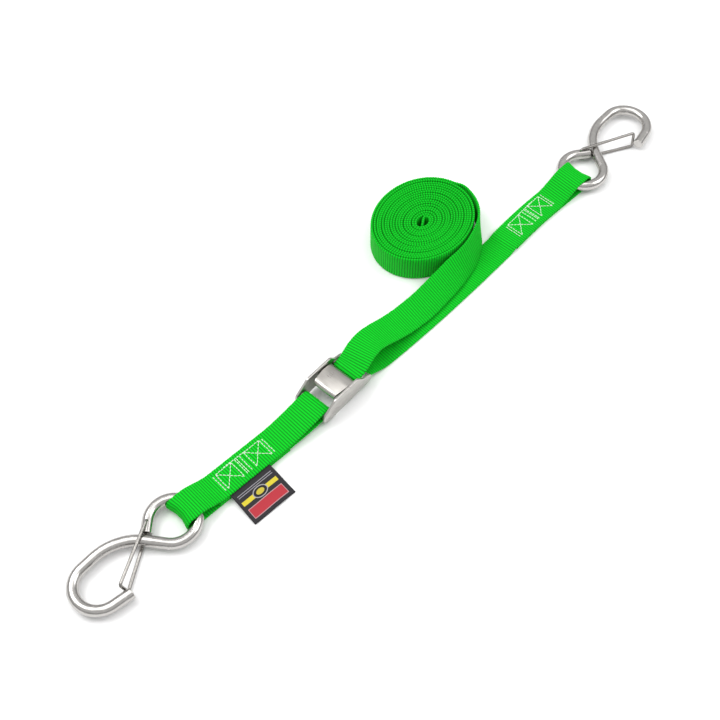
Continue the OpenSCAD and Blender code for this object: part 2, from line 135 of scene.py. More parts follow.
# the webbing's cross section, in shares of its width and thickness
PROFILE = np.array(
    [
        (-0.5, 0.2), (-0.488, 0.42), (-0.46, 0.5), (-0.15, 0.5), (0.15, 0.5), (0.46, 0.5),
        (0.488, 0.42), (0.5, 0.2), (0.5, -0.2), (0.488, -0.42), (0.46, -0.5), (0.15, -0.5),
        (-0.15, -0.5), (-0.46, -0.5), (-0.488, -0.42), (-0.5, -0.2),
    ]
)


def webbing(name, path, across, fold_x, way):
    """Ribbed webbing along a path in mm, sampled six times a rib. Its middle bows in at the hook's fold."""
    n = len(path)
    tangent = unit(np.gradient(path, axis=0))
    normal = unit(np.cross(tangent, across))
    s = np.arange(n) * RIB / RIB_SAMPLES
    phase = (np.arange(n) % RIB_SAMPLES) / RIB_SAMPLES
    groove = np.where(phase == 0, 1.0, np.where((phase < 0.2) | (phase > 0.8), 0.25, 0.0))
    thick = WEB_T * (1 - 0.3 * groove) * WEB_FULL
    wide = WEB_W - 0.5 * groove - 0.15 + 0.12 * np.sin(s * 0.9) * np.sin(s * 0.137 + 1)
    k = len(PROFILE)
    verts = (
        path[:, None, :]
        + across[:, None, :] * (PROFILE[None, :, 0:1] * wide[:, None, None])
        + normal[:, None, :] * (PROFILE[None, :, 1:2] * thick[:, None, None])
    )
    bow, reach, past = 2.8, 18, -3
    far = way * (verts[:, :, 0] - fold_x)
    near = np.clip(1 - far / reach, 0, 1) ** 2 * (far > past)
    verts[:, :, 0] += way * bow * near * (1 - (2 * PROFILE[None, :, 0]) ** 2)
    sv = np.zeros((n, k, 3))
    sv[:, :, 0] = s[:, None] * MM
    sv[:, :, 1] = PROFILE[None, :, 0] * WEB_W * MM
    sv[:, :, 2] = groove[:, None]
    i, j = np.meshgrid(np.arange(n - 1), np.arange(k), indexing="ij")
    a, b = i * k + j, i * k + (j + 1) % k
    quads = np.stack([a, b, b + k, a + k], axis=-1).reshape(-1, 4)
    caps = []
    for base, flip in ((0, False), ((n - 1) * k, True)):
        order = list(range(base, base + k))
        caps.append(order if flip else order[::-1])
    faces = [tuple(f) for f in quads[:, ::-1]] + [tuple(c[::-1]) for c in caps]
    return make(name, to_row(verts.reshape(-1, 3)), faces, {"sv": sv.reshape(-1, 3)})


def tube(path, r, k):
    """Vertices and faces of a round tube along a path in mm; r is one radius or one for each point."""
    path = np.asarray(path, dtype=float)
    n = len(path)
    r = np.broadcast_to(np.asarray(r, dtype=float), (n,))
    tangent = unit(np.gradient(path, axis=0))
    u = np.cross(tangent[0], (0.31, 0.17, 0.93))
    us = []
    for t in tangent:
        u = u - t * np.dot(u, t)
        u = u / np.linalg.norm(u)
        us.append(u.copy())
    us = np.array(us)
    vs = np.cross(tangent, us)
    ang = np.arange(k) * 2 * math.pi / k
    verts = path[:, None, :] + r[:, None, None] * (
        np.cos(ang)[None, :, None] * us[:, None, :] + np.sin(ang)[None, :, None] * vs[:, None, :]
    )
    faces = []
    for i in range(n - 1):
        for j in range(k):
            a, b = i * k + j, i * k + (j + 1) % k
            faces.append((a, b, b + k, a + k))
    faces.append(tuple(range(k))[::-1])
    faces.append(tuple((n - 1) * k + j for j in range(k)))
    return verts.reshape(-1, 3), faces


def join(parts):
    """One list of vertices and one of faces from several."""
    verts, faces, base = [], [], 0
    for v, f in parts:
        verts.append(v)
        faces += [tuple(i + base for i in g) for g in f]
        base += len(v)
    return np.vstack(verts), faces


def plate(outline, y0, y1, bevel, segments=3):
    """Solid from an outline in the X-Z plane between two Y values, in mm, with its edges eased."""
    bm = bmesh.new()
    lower = [bm.verts.new((x, y0, z)) for x, z in outline]
    face = bm.faces.new(lower)
    grown = bmesh.ops.extrude_face_region(bm, geom=[face])
    moved = [g for g in grown["geom"] if isinstance(g, bmesh.types.BMVert)]
    bmesh.ops.translate(bm, verts=moved, vec=(0, y1 - y0, 0))
    bmesh.ops.recalc_face_normals(bm, faces=bm.faces)
    rims = [e for e in bm.edges if abs(e.verts[0].co.y - e.verts[1].co.y) < 1e-6]
    bmesh.ops.bevel(bm, geom=rims, offset=bevel, segments=segments, profile=0.5, affect="EDGES")
    bm.verts.ensure_lookup_table()
    bm.verts.index_update()
    verts = np.array([tuple(v.co) for v in bm.verts])
    faces = [tuple(v.index for v in f.verts) for f in bm.faces]
    bm.free()
    return verts, faces


def arc(cx, cz, r, a0, a1, n):
    """Points of an arc, in degrees from a0 to a1."""
    a = np.radians(np.linspace(a0, a1, n + 1))
    return [(cx + r * math.cos(t), cz + r * math.sin(t)) for t in a]


# ---------------------------------------------------------------- materials
def material(name):
    mat = bpy.data.materials.new(name)
    mat.use_nodes = True
    tree = mat.node_tree
    bsdf = tree.nodes["Principled BSDF"]
    return mat, tree, bsdf


def node(tree, kind, inputs=None, **props):
    """New shader node; each input is a socket to link or a constant to set."""
    nd = tree.nodes.new(kind)
    for key, value in props.items():
        setattr(nd, key, value)
    for key, value in (inputs or {}).items():
        if isinstance(value, bpy.types.NodeSocket):
            tree.links.new(value, nd.inputs[key])
        else:
            nd.inputs[key].default_value = value
    return nd


def math_node(tree, op, a, b=0.0, c=0.0):
    return node(tree, "ShaderNodeMath", {0: a, 1: b, 2: c}, operation=op).outputs[0]


def mix_rgb(tree, fac, a, b):
    nd = tree.nodes.new("ShaderNodeMix")
    nd.data_type = "RGBA"
    for sock, value in ((nd.inputs[0], fac), (nd.inputs[6], a), (nd.inputs[7], b)):
        if isinstance(value, bpy.types.NodeSocket):
            tree.links.new(value, sock)
        else:
            sock.default_value = value
    return nd.outputs[2]


def noise(tree, coord, scale, detail):
    inputs = {"Vector": coord.outputs["Object"], "Scale": scale, "Detail": detail}
    return node(tree, "ShaderNodeTexNoise", inputs)


def webbing_material():
    mat, tree, bsdf = material("green_ribbed_webbing")
    sv = node(tree, "ShaderNodeAttribute", attribute_name="sv")
    split = node(tree, "ShaderNodeSeparateXYZ", {0: sv.outputs["Vector"]})
    s, v, groove = split.outputs
    coord = node(tree, "ShaderNodeTexCoord")
    cloud = noise(tree, coord, 90.0, 3.0)
    fine = noise(tree, coord, 2600.0, 3.0)
    # fine yarns: lengthwise ends crossing each rib, leaning one way and the other
    yarn = math_node(tree, "SINE", math_node(tree, "MULTIPLY", v, 2 * math.pi / 0.00085))
    lean = math_node(tree, "SINE", math_node(
        tree, "ADD", math_node(tree, "MULTIPLY", v, 2 * math.pi / 0.0017),
        math_node(tree, "MULTIPLY", s, 2 * math.pi / 0.0022)))
    yarn01 = math_node(tree, "MULTIPLY_ADD", yarn, 0.5, 0.5)
    lean01 = math_node(tree, "MULTIPLY_ADD", lean, 0.5, 0.5)
    weave = math_node(tree, "MULTIPLY_ADD", yarn01, 0.6, math_node(tree, "MULTIPLY", lean01, 0.4))
    # share of painted shade in each rib groove, from the groove attribute
    painted_groove_shade = math_node(tree, "POWER", groove, 0.8)
    base = mix_rgb(tree, weave, (0.0, 0.5, 0.012, 1), (0.0, 0.7, 0.022, 1))
    patch = math_node(tree, "MULTIPLY_ADD", cloud.outputs["Fac"], 0.5, -0.1)
    base = mix_rgb(tree, patch, base, (0.0, 0.54, 0.012, 1))
    speck = math_node(tree, "MULTIPLY", fine.outputs["Fac"], 0.35)
    base = mix_rgb(tree, speck, base, (0.0, 0.42, 0.01, 1))
    # painted shade: the base colour goes towards near-black green in the rib grooves, for the shade that
    # falls in them
    base = mix_rgb(tree, math_node(tree, "MULTIPLY", painted_groove_shade, 0.97), base, (0.0, 0.1, 0.004, 1))
    tree.links.new(base, bsdf.inputs["Base Color"])
    rough = math_node(tree, "MULTIPLY_ADD", fine.outputs["Fac"], 0.2, 0.58)
    tree.links.new(rough, bsdf.inputs["Roughness"])
    bsdf.inputs["Specular IOR Level"].default_value = 0.12
    bsdf.inputs["Sheen Weight"].default_value = 0.03
    bsdf.inputs["Sheen Roughness"].default_value = 0.5
    fine_height = math_node(tree, "MULTIPLY", fine.outputs["Fac"], 0.5)
    height = math_node(tree, "MULTIPLY_ADD", weave, 0.7, fine_height)
    bump = node(tree, "ShaderNodeBump", {"Height": height, "Strength": 0.55, "Distance": 0.00022})
    tree.links.new(bump.outputs[0], bsdf.inputs["Normal"])
    return mat


def thread_material():
    mat, tree, bsdf = material("white_thread")
    coord = node(tree, "ShaderNodeTexCoord")
    ply = node(
        tree, "ShaderNodeTexWave",
        {"Vector": coord.outputs["Object"], "Scale": 900.0, "Distortion": 3.0, "Detail": 2.0},
        wave_type="BANDS", bands_direction="DIAGONAL")
    fuzz = noise(tree, coord, 1500.0, 2.0)
    col = mix_rgb(tree, ply.outputs["Fac"], (0.62, 0.78, 0.6, 1), (0.88, 0.95, 0.86, 1))
    col = mix_rgb(tree, math_node(tree, "MULTIPLY", fuzz.outputs["Fac"], 0.35), col, (0.4, 0.75, 0.42, 1))
    tree.links.new(col, bsdf.inputs["Base Color"])
    bsdf.inputs["Roughness"].default_value = 0.7
    bsdf.inputs["Specular IOR Level"].default_value = 0.3
    bump = node(tree, "ShaderNodeBump", {"Height": ply.outputs["Fac"], "Strength": 0.5, "Distance": 0.0001})
    tree.links.new(bump.outputs[0], bsdf.inputs["Normal"])
    return mat


def steel_material(name, low, high, rough0, rough1, grain, stretch, bump_h):
    """Stainless steel with fine drawn or brushed grain along one axis, and faint handling marks."""
    mat, tree, bsdf = material(name)
    coord = node(tree, "ShaderNodeTexCoord")
    mapping = node(tree, "ShaderNodeMapping", {"Vector": coord.outputs["Object"], "Scale": stretch})
    brush = node(tree, "ShaderNodeTexNoise", {"Vector": mapping.outputs[0], "Scale": grain, "Detail": 5.0,
                                              "Roughness": 0.65})
    marks = noise(tree, coord, 160.0, 4.0)
    worn = node(tree, "ShaderNodeMapRange", {"Value": marks.outputs["Fac"], 1: 0.35, 2: 0.7, 3: 0.0, 4: 1.0})
    col = mix_rgb(tree, brush.outputs["Fac"], low, high)
    tree.links.new(col, bsdf.inputs["Base Color"])
    bsdf.inputs["Metallic"].default_value = 1.0
    rough = node(tree, "ShaderNodeMapRange", {"Value": math_node(
        tree, "MULTIPLY_ADD", brush.outputs["Fac"], 0.5, math_node(tree, "MULTIPLY", worn.outputs[0], 0.5)),
        1: 0.2, 2: 0.8, 3: rough0, 4: rough1})
    tree.links.new(rough.outputs[0], bsdf.inputs["Roughness"])
    bump = node(
        tree, "ShaderNodeBump", {"Height": brush.outputs["Fac"], "Strength": 0.35, "Distance": bump_h})
    tree.links.new(bump.outputs[0], bsdf.inputs["Normal"])
    return mat


def label_material():
    """Woven label: black ground, plain bars and an oval, no lettering. 'sv' is along and out, in metres."""
    mat, tree, bsdf = material("woven_label")
    sv = node(tree, "ShaderNodeAttribute", attribute_name="sv")
    split = node(tree, "ShaderNodeSeparateXYZ", {0: sv.outputs["Vector"]})
    s, v = split.outputs[0], split.outputs[1]

    def bar(s0, s1, v0, v1):
        a = math_node(tree, "COMPARE", s, (s0 + s1) / 2, (s1 - s0) / 2)
        b = math_node(tree, "COMPARE", v, (v0 + v1) / 2, (v1 - v0) / 2)
        return math_node(tree, "MULTIPLY", a, b)

    def oval(sc, vc, rs, rv):
        a = math_node(tree, "DIVIDE", math_node(tree, "SUBTRACT", s, sc), rs)
        b = math_node(tree, "DIVIDE", math_node(tree, "SUBTRACT", v, vc), rv)
        d = math_node(tree, "ADD", math_node(tree, "MULTIPLY", a, a), math_node(tree, "MULTIPLY", b, b))
        return math_node(tree, "LESS_THAN", d, 1.0)

    warp = math_node(tree, "SINE", math_node(tree, "MULTIPLY", s, 2 * math.pi / 0.0005))
    weft = math_node(tree, "SINE", math_node(tree, "MULTIPLY", v, 2 * math.pi / 0.0006))
    weave = math_node(tree, "MULTIPLY_ADD", math_node(tree, "MULTIPLY", warp, weft), 0.5, 0.5)
    col = mix_rgb(tree, weave, (0.012, 0.011, 0.014, 1), (0.04, 0.037, 0.042, 1))
    for mask, rgb in (
        (bar(-0.0165, 0.0165, 0.0040, 0.0046), (0.32, 0.31, 0.34, 1)),
        (bar(-0.0165, 0.0165, 0.0057, 0.0063), (0.32, 0.31, 0.34, 1)),
        (bar(-0.0170, 0.0165, 0.0098, 0.0133), (0.72, 0.6, 0.04, 1)),
        (oval(0.0, 0.0115, 0.0066, 0.0044), (0.4, 0.39, 0.4, 1)),
        (oval(0.0, 0.0115, 0.0058, 0.0037), (0.015, 0.014, 0.017, 1)),
        (oval(0.0, 0.0115, 0.0036, 0.0021), (0.6, 0.5, 0.05, 1)),
        (bar(-0.0165, 0.0160, 0.0168, 0.0258), (0.55, 0.3, 0.32, 1)),
        (bar(-0.0160, 0.0155, 0.0174, 0.0252), (0.5, 0.035, 0.05, 1)),
    ):
        col = mix_rgb(tree, mask, col, rgb)
    col = mix_rgb(tree, math_node(tree, "MULTIPLY", weave, 0.3), col, (0.02, 0.02, 0.02, 1))
    tree.links.new(col, bsdf.inputs["Base Color"])
    bsdf.inputs["Roughness"].default_value = 0.75
    bsdf.inputs["Specular IOR Level"].default_value = 0.25
    bsdf.inputs["Sheen Weight"].default_value = 0.08
    bump = node(tree, "ShaderNodeBump", {"Height": weave, "Strength": 0.5, "Distance": 0.0001})
    tree.links.new(bump.outputs[0], bsdf.inputs["Normal"])
    return mat


M_WEB = webbing_material()
M_THREAD = thread_material()
M_LABEL = label_material()
# name, dark and light colour, roughness from and to, grain, its stretch along X, Y, Z, bump height in m
M_HOOK = steel_material(
    "polished_stainless", (0.42, 0.41, 0.39, 1), (0.62, 0.6, 0.58, 1), 0.12, 0.3, 260.0,
    (1.0, 1.0, 1.0), 0.00002)
M_WIRE = steel_material(
    "drawn_wire", (0.2, 0.19, 0.18, 1), (0.4, 0.385, 0.365, 1), 0.14, 0.3, 500.0,
    (0.3, 1.0, 1.0), 0.00002)
M_PLATE = steel_material(
    "stamped_stainless", (0.42, 0.405, 0.38, 1), (0.58, 0.565, 0.54, 1), 0.26, 0.44, 420.0,
    (0.12, 1.0, 1.0), 0.00003)
M_LEVER = steel_material(
    "satin_lever", (0.42, 0.4, 0.37, 1), (0.6, 0.58, 0.55, 1), 0.26, 0.42, 420.0,
    (1.0, 0.12, 1.0), 0.00003)
M_SPRING = steel_material(
    "spring_wire", (0.36, 0.36, 0.37, 1), (0.5, 0.5, 0.52, 1), 0.25, 0.4, 700.0,
    (1.0, 1.0, 1.0), 0.00002)


def dress(ob, mat):
    ob.data.materials.clear()
    ob.data.materials.append(mat)


def finish_piece(ob, mat, body, nodes):
    dress(ob, mat)
    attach(ob, body)
    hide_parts(*nodes)


# ---------------------------------------------------------------- where the straps run, in mm
BY = -7.0  # middle of the buckle across the strap
BAR_X, BAR_Z, BAR_WRAP = -31, 8.5, 4.3
PIN_X, PIN_Z = -7, 14.6
SHORT_LEN, RUN_LEN = 142.4, 339.0
SHORT_SLOPE = 0.088  # the short strap drifts to one side by this much a mm
HOOK_A_X, HOOK_B_X = BAR_X - SHORT_LEN, BAR_X + RUN_LEN
HOOK_Z, LOOP_Z, LOOP_R, LOOP_X = 7.46, 7.205, 6.155, 10.147


def ease(x, x0, x1, a, b):
    """Smooth step from a at x0 to b at x1."""
    u = min(1.0, max(0.0, (x - x0) / (x1 - x0)))
    return a + (b - a) * u * u * (3 - 2 * u)


def short_y(x):
    d = max(0.0, BAR_X - x)
    return BY + SHORT_SLOPE * (d * d / 50 if d < 25 else d - 12.5)


LONG_PLAN = spline(
    [(-40, BY, 0), (-14, BY, 0), (2, BY, 0), (12, BY, 0), (24, BY - 1, 0), (40, BY - 3.2, 0),
     (61, BY - 4.8, 0), (101, BY - 6.8, 0), (141, BY - 7.8, 0), (190, BY - 8.0, 0), (239, BY - 7.8, 0),
     (HOOK_B_X - 15, BY - 11.2, 0), (HOOK_B_X, BY - 12.0, 0)], 1.0)


def long_y(x):
    return float(np.interp(x, LONG_PLAN[:, 0], LONG_PLAN[:, 1]))


HOOK_A_Y, HOOK_B_Y = short_y(HOOK_A_X), long_y(HOOK_B_X)
Z_LOW, Z_MID, Z_TOP = 1.05, 3.3, 5.9
SEAM_A, SEAM_B = -103.5, 236.0
CUT_B = 203.0
TURN_X, TURN_Z, TURN_R = 8.0, 10.7, 3.7


def run(x0, x1, n, fn):
    return [(x, fn(x)) for x in np.linspace(x0, x1, n)]


bend_a = HOOK_A_X + LOOP_X
short_xz = (
    run(SEAM_A + 34.5, bend_a, 60, lambda x: Z_LOW)
    + arc(bend_a, LOOP_Z, LOOP_R, 268, 92, 40)
    + run(bend_a + 1, SEAM_A - 26, 40, lambda x: ease(x, bend_a + 6, SEAM_A - 27, LOOP_Z + LOOP_R, Z_TOP))
    + run(SEAM_A - 25, SEAM_A + 25, 30, lambda x: Z_TOP)
    + run(SEAM_A + 26, BAR_X - 1, 40, lambda x: ease(x, SEAM_A + 26, BAR_X - 1, Z_TOP, BAR_Z + BAR_WRAP))
    + arc(BAR_X, BAR_Z, BAR_WRAP, 88, -88, 36)
    + run(BAR_X - 1, SEAM_A + 27, 40, lambda x: ease(x, BAR_X - 1, SEAM_A + 28, BAR_Z - BAR_WRAP, Z_MID))
    + run(SEAM_A + 25, SEAM_A - 35.5, 30, lambda x: Z_MID)
)
bend_b = HOOK_B_X - LOOP_X
long_xz = (
    run(CUT_B, bend_b, 60, lambda x: Z_LOW)
    + arc(bend_b, LOOP_Z, LOOP_R, -88, 88, 40)
    + run(bend_b - 1, SEAM_B + 27, 40, lambda x: ease(x, bend_b - 6, SEAM_B + 26, LOOP_Z + LOOP_R, Z_MID))
    + run(SEAM_B + 25, SEAM_B - 31, 40, lambda x: Z_MID)
    + run(CUT_B - 1, CUT_B - 10, 14, lambda x: ease(x, CUT_B - 0.5, CUT_B - 10, Z_MID, Z_LOW))
    + run(CUT_B - 12, TURN_X + 38, 60, lambda x: Z_LOW)
    + run(TURN_X + 35, TURN_X + 1, 30, lambda x: ease(x, TURN_X + 34, TURN_X + 7, Z_LOW, TURN_Z - TURN_R))
    + arc(TURN_X, TURN_Z, TURN_R, 268, 96, 24)
)


def lay(xz, fn):
    """Path in space and the direction across it, from points in X-Z and a sideways place for each X."""
    xz = np.array(xz)
    p = np.stack([xz[:, 0], np.array([fn(x) for x in xz[:, 0]]), xz[:, 1]], axis=1)
    p = resample(p, STEP)
    d = 0.5
    slope = np.array([(fn(x + d) - fn(x - d)) / (2 * d) for x in p[:, 0]])
    across = unit(np.stack([-slope, np.ones_like(slope), np.zeros_like(slope)], axis=1))
    return p, across


ROLL_X, ROLL_Y, ROLL_A, ROLL_B = 159.5, BY + 7.5 + 42, 50.0, 42.0
TURNS = 17


def by_roll(a, gap, z, lean):
    """Point of the tail just outside the roll, at angle a in degrees."""
    t = math.radians(a)
    return (ROLL_X + (ROLL_A + gap) * math.cos(t), ROLL_Y + (ROLL_B + gap) * math.sin(t), z, lean)


# The tail arches out of the buckle, lies over the run, leans up and goes on edge into the roll.
# Each point is x, y, z and the lean in degrees.
tail = np.array(
    [
        (7.0, BY, 14.25, 0), (8.5, BY, 14.4, 0), (11.5, BY + 0.1, 14.6, 0), (15.5, BY + 0.6, 15.6, 0),
        (21, BY + 1.6, 17.3, 0), (28.5, BY + 3, 18.2, 0), (38, BY + 4, 17.6, 0), (49, BY + 3.8, 14.7, 1),
        (61, BY + 2.4, 11.3, 4), (75, BY + 0.8, 8.8, 9), (88, BY - 0.6, 8.4, 16), (101, BY - 1.7, 9, 22),
        (114, BY - 1.8, 10.1, 28), (127, BY - 1.8, 11.1, 34), (140, BY - 1.4, 12.3, 41),
        (153, BY - 1, 13.4, 54), (165, BY + 0.7, 14.6, 64),
        by_roll(-66, 4.7, 14.9, 74), by_roll(-53, 3.3, 14, 82), by_roll(-40, 2.3, 13.4, 88),
        by_roll(-27, 1.75, 13, 90), by_roll(-14, 1.5, 12.8, 90), by_roll(-3, 1.3, 12.8, 90),
    ]
)


def roll_points():
    """Spiral from the outside in, anticlockwise from above, ending in an S across the middle."""
    out = []
    t0, t1 = 9.0, 9.0 + 360 * TURNS
    for t in np.arange(t0, t1, 4.0):
        u = (t - t0) / (t1 - t0)
        a = 49.0 + (6.4 - 49.0) * u + 0.25 * math.sin(math.radians(t * 0.37))
        b = 41.0 + (4.5 - 41.0) * u + 0.2 * math.sin(math.radians(t * 0.29 + 40))
        lift = 0.25 * math.sin(math.radians(t * 0.23)) * (1 - u)
        r = math.radians(t)
        out.append((ROLL_X - 2.5 * u + a * math.cos(r), ROLL_Y - 2.0 * u + b * math.sin(r), 12.7 + lift, 90))
    cx, cy = ROLL_X - 2.5, ROLL_Y - 2.0
    out += [(cx + 5.0, cy + 2.6, 12.7, 90), (cx + 2.2, cy + 1.9, 12.7, 90), (cx - 0.6, cy + 0.1, 12.7, 90),
            (cx - 3.0, cy - 1.2, 12.7, 90)]
    return np.array(out)


def long_strap_path():
    """The run from hook B round the lip, joined to the tail and the roll as one strip."""
    p, across = lay(long_xz, long_y)
    back_part = spline(np.vstack([tail, roll_points()]), 0.5)
    back_part = back_part[int(np.argmax(back_part[:, 0] > 7.7)):]
    whole = resample(np.vstack([np.column_stack([p, np.zeros(len(p))]), back_part]), STEP)
    pos, lean = whole[:, :3], np.radians(whole[:, 3])
    tangent = np.gradient(pos, axis=0)
    flat_t = unit(np.column_stack([tangent[:, :2], np.zeros(len(tangent))]))
    s_run = np.linalg.norm(np.diff(p, axis=0), axis=1).sum()
    s_all = np.arange(len(pos)) * STEP
    s_across = np.linspace(0, s_run, len(across))
    cross_run = np.column_stack([np.interp(s_all, s_across, across[:, k]) for k in range(3)])
    side = np.column_stack([-flat_t[:, 1], flat_t[:, 0], np.zeros(len(pos))])
    side = side * np.cos(lean)[:, None] + np.array([0, 0, 1.0])[None, :] * np.sin(lean)[:, None]
    blend = np.clip((s_all - s_run) / 6.0, 0, 1)[:, None]
    return pos, unit(cross_run * (1 - blend) + side * blend)


pos, across = long_strap_path()
long_piece = webbing("long_strap_webbing", pos, across, bend_b + LOOP_R + 1, -1)
finish_piece(long_piece, M_WEB, "buckle", ["long_strap", "long_strap_tail", "long_strap_roll"])

pos_s, across_s = lay(short_xz, short_y)
short_piece = webbing("short_strap_webbing", pos_s, across_s, bend_a - LOOP_R - 1, 1)
finish_piece(short_piece, M_WEB, "short_strap", ["short_strap"])


# ---------------------------------------------------------------- sewn patterns
def stitches(name, centre, angle, flip, z, body, cad):
    """Two crossed boxes and cross rows of raised thread on a seam."""
    h = WEB_W * 0.315
    lines = [((x, -h), (x, h)) for x in (-25.5, -23, -7.5, -4, -2.5, 0.5, 5, 20.5, 23)]
    for b0, b1 in ((-23, -7.5), (5, 20.5)):
        lines += [((b0, -h), (b1, h)), ((b0, h), (b1, -h)), ((b0, h), (b1, h))]
    lines += [((-15, h + 0.6), (6, h + 0.2))]
    parts = []
    rng = np.random.default_rng(7)
    for p, q in lines:
        p, q = np.array(p, dtype=float), np.array(q, dtype=float)
        length = np.linalg.norm(q - p)
        count = max(2, int(round(length / 2.7)))
        pitch = length / count
        d = (q - p) / length
        for i in range(count):
            m = p + d * pitch * (i + 0.5) + rng.normal(0, 0.1, 2)
            t = np.linspace(-1, 1, 7)
            dd = d + rng.normal(0, 0.04, 2)
            pts = np.column_stack([
                m[0] + dd[0] * t * pitch * 0.42, m[1] + dd[1] * t * pitch * 0.42,
                0.06 + 0.17 * (1 - t ** 4) - 0.55 * np.abs(t) ** 8])
            r = 0.32 * (1 - 0.35 * np.abs(t) ** 4)
            parts.append(tube(pts, r, 8))
    v, f = join(parts)
    if flip:
        v[:, 0] *= -1
        f = [g[::-1] for g in f]
    c, s = math.cos(angle), math.sin(angle)
    x, y = v[:, 0] * c - v[:, 1] * s + centre[0], v[:, 0] * s + v[:, 1] * c + centre[1]
    ob = make(name, to_row(np.column_stack([x, y, v[:, 2] + z])), f)
    finish_piece(ob, M_THREAD, body, [cad])


top_skin = WEB_T / 2 * WEB_FULL
stitches("short_strap_thread", (SEAM_A, short_y(SEAM_A)), -math.atan(SHORT_SLOPE), False, Z_TOP + top_skin,
         "short_strap", "short_strap_stitching")
stitches("long_strap_thread", (SEAM_B, long_y(SEAM_B)), 0.0, True, Z_MID + top_skin,
         "buckle", "long_strap_stitching")


# ---------------------------------------------------------------- label
def label():
    """Cloth tab sewn under the short strap, drooping to the floor."""
    half, drop = 19.5, 29.0
    outs = np.concatenate([np.linspace(-2.4, 2, 6), np.linspace(3, drop, 30)])
    alongs = np.linspace(-half, half, 40)
    top = Z_TOP - WEB_T / 2 - 0.06
    knots_v = [-2.5, 1.8, 9, 21, 29]
    knots_z = [top - 0.2, top - 0.2, Z_MID + 0.55, Z_LOW + 0.75, Z_LOW - 0.25]
    verts, sv = [], []
    for side in (0.17, -0.17):
        for v in outs:
            for a in alongs:
                zz = np.interp(v, knots_v, knots_z)
                wave = 0.35 * math.sin(a * 0.21 + 0.6) * max(0.0, min(1, (v - 4) / 14))
                skew = 0.02 * v * a / half
                verts.append((a + skew - 0.045 * max(v, 0) * 0.3, -v, zz + max(wave, -0.3) * 0.9 + side))
                sv.append((a * MM, v * MM, 0))
    n, m = len(outs), len(alongs)
    faces = []
    for layer in (0, 1):
        o = layer * n * m
        for i in range(n - 1):
            for j in range(m - 1):
                f = (o + i * m + j, o + i * m + j + 1, o + (i + 1) * m + j + 1, o + (i + 1) * m + j)
                faces.append(f[::-1] if layer == 0 else f)
    rim = [(0, j) for j in range(m)] + [(i, m - 1) for i in range(1, n)]
    rim += [(n - 1, j) for j in range(m - 2, -1, -1)] + [(i, 0) for i in range(n - 2, 0, -1)]
    o = n * m
    for k in range(len(rim)):
        a, b = rim[k], rim[(k + 1) % len(rim)]
        ia, ib = a[0] * m + a[1], b[0] * m + b[1]
        faces.append((ia, ib, ib + o, ia + o))
    v = np.array(verts)
    ang = -math.atan(SHORT_SLOPE)
    x0, y0 = SEAM_A - 7, short_y(SEAM_A - 7) - WEB_W / 2
    x = v[:, 0] * math.cos(ang) - v[:, 1] * math.sin(ang) + x0
    y = v[:, 0] * math.sin(ang) + v[:, 1] * math.cos(ang) + y0
    ob = make("sewn_in_label", to_row(np.column_stack([x, y, v[:, 2]])), faces, {"sv": sv})
    finish_piece(ob, M_LABEL, "short_strap", ["label"])


label()

# ---------------------------------------------------------------- hooks and gates
ROD, EYE, BOWL, REACH, BOWL_Y, BEND, TIP = 4.5, 18.5, 19.3, 70.3, 2.4, 42.0, 15.5
END = math.radians(50)
E0 = EYE * np.array([math.cos(END), math.sin(END)])
ED = np.array([math.sin(END), -math.cos(END)])
G0 = E0 + 2.5 * ED
OUT = math.radians(10)
TIP_0 = np.array([REACH + BOWL * math.sin(OUT), BOWL_Y - BOWL * math.cos(OUT)])
TIP_D = np.array([-math.cos(OUT), -math.sin(OUT)])
G1 = TIP_0 + 12.5 * TIP_D + (ROD + 1.3 + 0.4) * np.array([-math.sin(OUT), math.cos(OUT)])
SPREAD = np.array([1.5, 1.4])
WIRE = 1.3
LEG = ROD + 0.3 + WIRE


def hook_line():
    """Middle of the bent rod, from the eye's cut end to the tip, in the hook's own plane."""
    sh = math.radians(56.3)
    top = BOWL_Y + BOWL
    s0 = EYE * np.array([math.sin(sh), -math.cos(sh)])
    n = np.array([math.sin(sh), -math.cos(sh)])
    end = (float((s0 - E0) @ n) - ROD - 0.8) / float(ED @ n)
    y1 = top - BEND * (1 - math.cos(sh))
    s1 = np.array([s0[0] + (y1 - s0[1]) / math.tan(sh), y1])
    c = (s1[0] + BEND * math.sin(sh), top - BEND)
    pts = [tuple(E0 + ED * end * t) for t in np.linspace(1, 0, 8)]
    pts += arc(0, 0, EYE, 50, 360 - 90 + 56.3, 90)[1:]
    pts += [tuple(s0 + (s1 - s0) * t) for t in np.linspace(0, 1, 12)[1:]]
    pts += arc(c[0], c[1], BEND, 90 + 56.3, 90, 24)[1:]
    pts += [(x, top) for x in np.linspace(c[0], REACH, 12)[1:]]
    pts += arc(REACH, BOWL_Y, BOWL, 90, -80, 64)[1:]
    pts += [tuple(TIP_0 + TIP_D * t) for t in np.linspace(0, TIP, 8)[1:]]
    return np.column_stack([np.array(pts), np.zeros(len(pts))])


def rounded(corners, r, n=8):
    """Polyline with each inner corner rounded off."""
    c = np.array(corners, dtype=float)
    out = [c[0]]
    for i in range(1, len(c) - 1):
        a = c[i] + unit(c[i - 1] - c[i]) * r
        b = c[i] + unit(c[i + 1] - c[i]) * r
        for t in np.linspace(0, 1, n):
            out.append((1 - t) ** 2 * a + 2 * t * (1 - t) * c[i] + t * t * b)
    return np.array(out + [c[-1]])


